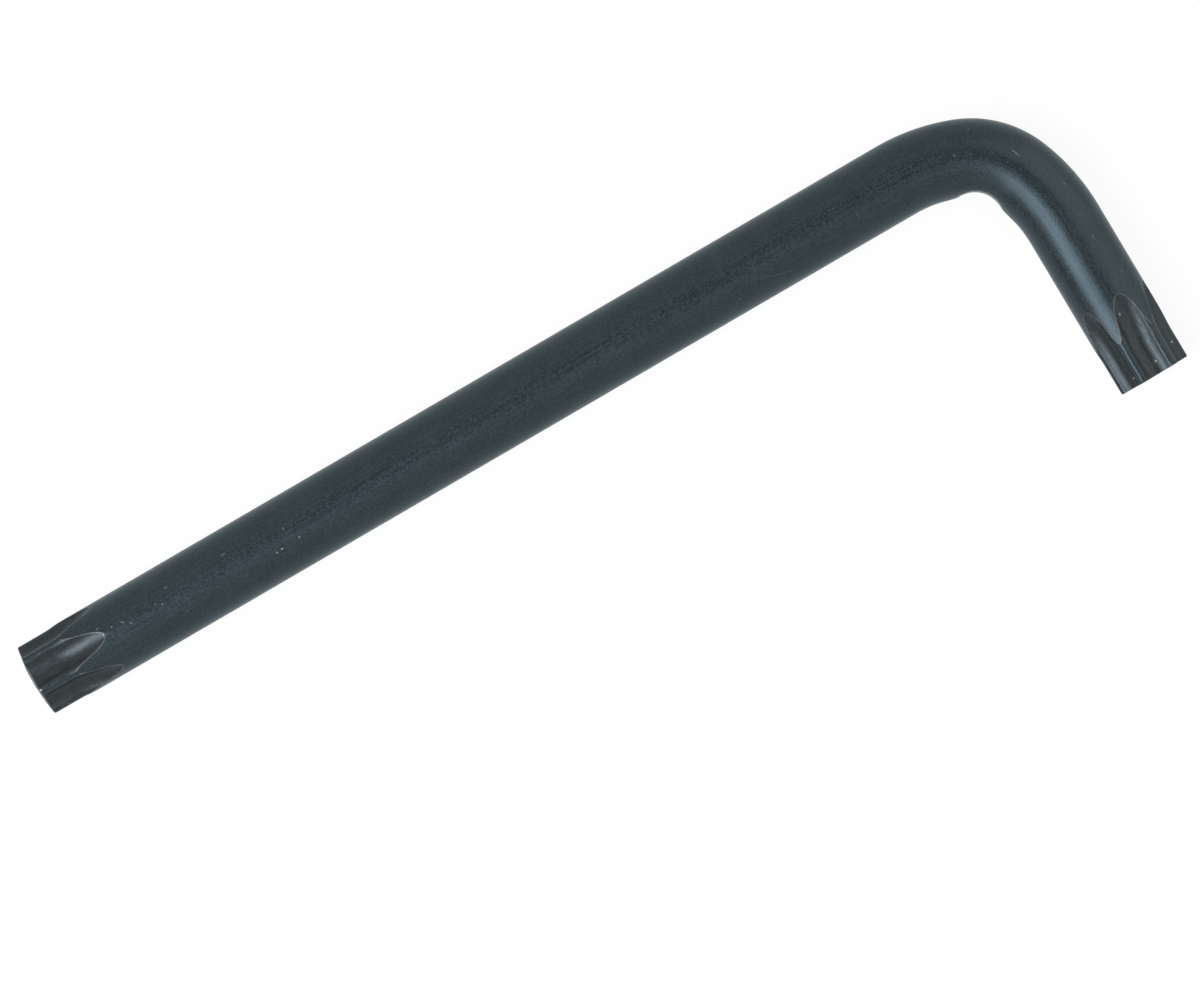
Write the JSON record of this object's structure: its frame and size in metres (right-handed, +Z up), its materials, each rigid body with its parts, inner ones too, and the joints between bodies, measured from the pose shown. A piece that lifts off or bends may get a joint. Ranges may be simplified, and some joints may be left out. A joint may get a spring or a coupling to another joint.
{
  "type": "star key",
  "caption": "L-shaped star key bent from round black steel bar, with a fluted star tip at each end that turns star-recess screws.",
  "frame": {"origin": "on the surface that the key lies on, under the middle of its outline", "axes": "+X along the long arm from its tip to the bend, the short arm heads to -Y, +Z up out of the plane of the two arms"},
  "size_m": [0.1337, 0.039, 0.009],
  "materials": {
    "oxide_bar": "matt black oxide over drawn steel bar",
    "oxide_star": "matt black oxide over cut flutes, worn along the edges"
  },
  "bodies": {
    "root": {"long_tip": "oxide_star", "long_arm": "oxide_bar", "elbow": "oxide_bar", "short_arm": "oxide_bar", "short_tip": "oxide_star"}
  },
  "joints": []
}
